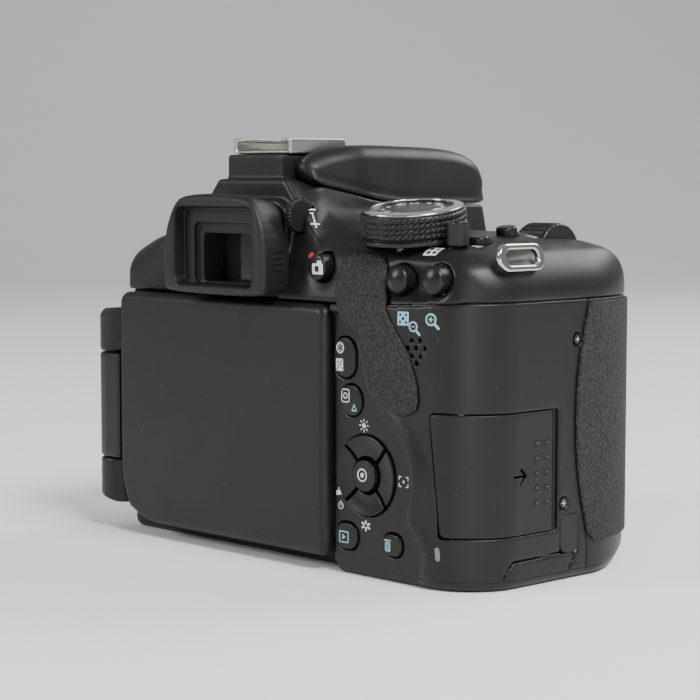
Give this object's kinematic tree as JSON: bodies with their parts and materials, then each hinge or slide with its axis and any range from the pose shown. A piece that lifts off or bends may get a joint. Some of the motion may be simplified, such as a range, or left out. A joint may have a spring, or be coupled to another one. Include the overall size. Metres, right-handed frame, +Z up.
{
  "type": "dslr camera",
  "caption": "Single-lens reflex camera body with an open lens mount, raised finder housing, pop-up flash, control dials and a side-hinged folding monitor.",
  "frame": {"origin": "mouth of the tripod socket in the base plane, under the optical axis", "axes": "+Z up; the lens side faces -Y and the back faces +Y; the grip is at -X and the monitor's hinge at +X"},
  "size_m": [0.1332, 0.0798, 0.0995],
  "materials": {
    "body_plastic": "fine spark-eroded texture",
    "monitor_plastic": "satin",
    "grip_rubber": "pebbled",
    "eyecup_rubber": "soft matte",
    "flap_rubber": "smooth matte",
    "key_plastic": "satin gloss",
    "dial_plastic": "knurled",
    "inner_plastic": "light-absorbing matte",
    "mount_steel": "turned",
    "shoe_steel": "pressed and worn",
    "lug_chrome": "polished",
    "screw_steel": "black oxide",
    "socket_steel": "turned",
    "hinge_metal": "satin black",
    "screen_glass": "polished",
    "mirror": "silvered",
    "clear_lens": "coated",
    "frosted": "frosted",
    "board": "solder resist",
    "sensor": "coated",
    "battery_plastic": "smooth",
    "card_plastic": "smooth"
  },
  "bodies": {
    "body": {"bottom_cover": "body_plastic", "tripod_socket": "socket_steel", "front_cover": "body_plastic", "rear_cover": "body_plastic", "top_cover": "body_plastic", "grip_rubber": "grip_rubber", "thumb_rest_rubber": "grip_rubber", "lens_mount_ring": "mount_steel", "mirror_box": "inner_plastic", "focusing_screen": "frosted", "pentamirror": "inner_plastic", "shutter_unit": "inner_plastic", "image_sensor": "sensor", "main_board": "board", "battery": "battery_plastic", "memory_card": "card_plastic", "hot_shoe_rails": "shoe_steel", "eyepiece_lens": "clear_lens", "eyecup": "eyecup_rubber", "hinge_base": "hinge_metal", "strap_lugs": "lug_chrome", "screws": "screw_steel"},
    "monitor": {"monitor_back_shell": "monitor_plastic", "monitor_bezel": "monitor_plastic", "monitor_screen": "screen_glass", "monitor_arm": "hinge_metal"},
    "flash": {"flash_housing": "body_plastic"},
    "mode_dial": {"mode_dial": "dial_plastic"},
    "power_switch": {"power_switch": "dial_plastic"},
    "main_dial": {"main_dial": "dial_plastic"},
    "diopter_knob": {"diopter_knob": "dial_plastic"},
    "exposure_button": {"exposure_button": "key_plastic"},
    "quick_button": {"quick_button": "key_plastic"},
    "playback_button": {"playback_button": "key_plastic"},
    "erase_button": {"erase_button": "key_plastic"},
    "live_view_button": {"live_view_button": "key_plastic"},
    "ae_lock_button": {"ae_lock_button": "key_plastic"},
    "af_point_button": {"af_point_button": "key_plastic"},
    "set_button": {"set_button": "key_plastic"},
    "cross_key_up": {"cross_key_up": "key_plastic"},
    "cross_key_down": {"cross_key_down": "key_plastic"},
    "cross_key_left": {"cross_key_left": "key_plastic"},
    "cross_key_right": {"cross_key_right": "key_plastic"},
    "shutter_button": {"shutter_button": "key_plastic"},
    "display_button": {"display_button": "key_plastic"},
    "iso_button": {"iso_button": "key_plastic"},
    "menu_button": {"menu_button": "key_plastic"},
    "info_button": {"info_button": "key_plastic"},
    "lens_release_button": {"lens_release_button": "key_plastic"},
    "lens_lock_pin": {"lens_lock_pin": "mount_steel"},
    "depth_preview_button": {"depth_preview_button": "key_plastic"},
    "flash_button": {"flash_button": "key_plastic"},
    "mirror": {"main_mirror": "mirror"},
    "sub_mirror": {"sub_mirror": "mirror"},
    "card_hinge": {"card_hinge": "hinge_metal"},
    "card_door": {"card_door": "body_plastic"},
    "battery_door": {"battery_door": "body_plastic"},
    "battery_latch": {"battery_latch": "body_plastic"},
    "dc_flap": {"dc_cord_flap": "flap_rubber"},
    "terminal_cover": {"terminal_cover": "flap_rubber"}
  },
  "joints": [
    {"name": "monitor_swing", "type": "hinge", "parent": "body", "child": "monitor", "pos_m": [0.0506, 0.026, 0], "axis": [0, 0, -1], "range_deg": [0, 175]},
    {"name": "flash_pop", "type": "hinge", "parent": "body", "child": "flash", "pos_m": [0, 0.02, 0.091], "axis": [-1, 0, 0], "range_deg": [0, 58]},
    {"name": "mode_dial_turn", "type": "hinge", "parent": "body", "child": "mode_dial", "pos_m": [-0.0472, 0.0176, 0.0763], "axis": [-0.061, 0.148, 0.9871], "range_deg": [-144, 168]},
    {"name": "power_switch_turn", "type": "hinge", "parent": "body", "child": "power_switch", "pos_m": [-0.0624, 0.0194, 0.07509], "axis": [-0.061, 0.148, 0.9871], "range_deg": [0, 30]},
    {"name": "main_dial_turn", "type": "hinge", "parent": "body", "child": "main_dial", "pos_m": [-0.06, -0.0125, 0.0729], "axis": [1, 0, 0], "continuous": true},
    {"name": "diopter_turn", "type": "hinge", "parent": "body", "child": "diopter_knob", "pos_m": [-0.0185, 0.026, 0.0814], "axis": [1, 0, 0], "range_deg": [-120, 120]},
    {"name": "exposure_button_press", "type": "slide", "parent": "body", "child": "exposure_button", "axis": [0, -1, 0], "range_m": [0, 0.0007], "stiffness_N_per_m": 400},
    {"name": "quick_button_press", "type": "slide", "parent": "body", "child": "quick_button", "axis": [0, -1, 0], "range_m": [0, 0.0007], "stiffness_N_per_m": 400},
    {"name": "playback_button_press", "type": "slide", "parent": "body", "child": "playback_button", "axis": [0, -1, 0], "range_m": [0, 0.0007], "stiffness_N_per_m": 400},
    {"name": "erase_button_press", "type": "slide", "parent": "body", "child": "erase_button", "axis": [0, -1, 0], "range_m": [0, 0.0007], "stiffness_N_per_m": 400},
    {"name": "live_view_button_press", "type": "slide", "parent": "body", "child": "live_view_button", "axis": [0, -1, 0], "range_m": [0, 0.0007], "stiffness_N_per_m": 400},
    {"name": "ae_lock_button_press", "type": "slide", "parent": "body", "child": "ae_lock_button", "axis": [0, -1, 0], "range_m": [0, 0.0007], "stiffness_N_per_m": 400},
    {"name": "af_point_button_press", "type": "slide", "parent": "body", "child": "af_point_button", "axis": [0, -1, 0], "range_m": [0, 0.0007], "stiffness_N_per_m": 400},
    {"name": "set_button_press", "type": "slide", "parent": "body", "child": "set_button", "axis": [0, -1, 0], "range_m": [0, 0.0007], "stiffness_N_per_m": 400},
    {"name": "cross_key_up_press", "type": "slide", "parent": "body", "child": "cross_key_up", "axis": [0, -1, 0], "range_m": [0, 0.0007], "stiffness_N_per_m": 400},
    {"name": "cross_key_down_press", "type": "slide", "parent": "body", "child": "cross_key_down", "axis": [0, -1, 0], "range_m": [0, 0.0007], "stiffness_N_per_m": 400},
    {"name": "cross_key_left_press", "type": "slide", "parent": "body", "child": "cross_key_left", "axis": [0, -1, 0], "range_m": [0, 0.0007], "stiffness_N_per_m": 400},
    {"name": "cross_key_right_press", "type": "slide", "parent": "body", "child": "cross_key_right", "axis": [0, -1, 0], "range_m": [0, 0.0007], "stiffness_N_per_m": 400},
    {"name": "shutter_press", "type": "slide", "parent": "body", "child": "shutter_button", "axis": [0, 0.4472, -0.8944], "range_m": [0, 0.0012], "stiffness_N_per_m": 400},
    {"name": "display_button_press", "type": "slide", "parent": "body", "child": "display_button", "axis": [0.061, -0.148, -0.9871], "range_m": [0, 0.0007], "stiffness_N_per_m": 400},
    {"name": "iso_button_press", "type": "slide", "parent": "body", "child": "iso_button", "axis": [0.061, -0.148, -0.9871], "range_m": [0, 0.0007], "stiffness_N_per_m": 400},
    {"name": "menu_button_press", "type": "slide", "parent": "body", "child": "menu_button", "axis": [-0.4104, 0, -0.9119], "range_m": [0, 0.0006], "stiffness_N_per_m": 400},
    {"name": "info_button_press", "type": "slide", "parent": "body", "child": "info_button", "axis": [-0.4104, 0, -0.9119], "range_m": [0, 0.0006], "stiffness_N_per_m": 400},
    {"name": "lens_release_press", "type": "slide", "parent": "body", "child": "lens_release_button", "axis": [0, 1, 0], "range_m": [0, 0.003], "stiffness_N_per_m": 400},
    {"name": "lock_pin_retract", "type": "slide", "parent": "body", "child": "lens_lock_pin", "axis": [0, 1, 0], "range_m": [0, 0.0018]},
    {"name": "depth_preview_press", "type": "slide", "parent": "body", "child": "depth_preview_button", "axis": [0, 1, 0], "range_m": [0, 0.0012], "stiffness_N_per_m": 400},
    {"name": "flash_button_press", "type": "slide", "parent": "body", "child": "flash_button", "axis": [0, 1, 0], "range_m": [0, 0.001], "stiffness_N_per_m": 400},
    {"name": "mirror_flip", "type": "hinge", "parent": "body", "child": "mirror", "pos_m": [0, 0.0006, 0.055], "axis": [-1, 0, 0], "range_deg": [0, 45], "stiffness_Nm_per_rad": 0.002},
    {"name": "sub_mirror_fold", "type": "hinge", "parent": "mirror", "child": "sub_mirror", "pos_m": [0, -0.00661, 0.04524], "axis": [1, 0, 0], "range_deg": [-90, 0]},
    {"name": "card_door_slide", "type": "slide", "parent": "body", "child": "card_hinge", "axis": [0, 1, 0], "range_m": [0, 0.0025]},
    {"name": "card_door_swing", "type": "hinge", "parent": "card_hinge", "child": "card_door", "pos_m": [-0.0644, 0.0298, 0], "axis": [0, 0, -1], "range_deg": [0, 75]},
    {"name": "battery_door_swing", "type": "hinge", "parent": "body", "child": "battery_door", "pos_m": [-0.0585, -0.0319, 0.0012], "axis": [1, 0, 0], "range_deg": [-100, 0]},
    {"name": "battery_latch_slide", "type": "slide", "parent": "battery_door", "child": "battery_latch", "axis": [0, -1, 0], "range_m": [0, 0.0015], "stiffness_N_per_m": 200},
    {"name": "dc_flap_swing", "type": "hinge", "parent": "body", "child": "dc_flap", "pos_m": [-0.0764, -0.0025, 0.0149], "axis": [0, 1, 0], "range_deg": [0, 60]},
    {"name": "terminal_cover_swing", "type": "hinge", "parent": "body", "child": "terminal_cover", "pos_m": [0.0503, -0.0074, 0], "axis": [0, 0, 1], "range_deg": [-100, 0]}
  ],
  "couplings": [
    {"joint": "lock_pin_retract", "follows": "lens_release_press", "ratio": 0.6},
    {"joint": "sub_mirror_fold", "follows": "mirror_flip", "ratio": -2}
  ]
}
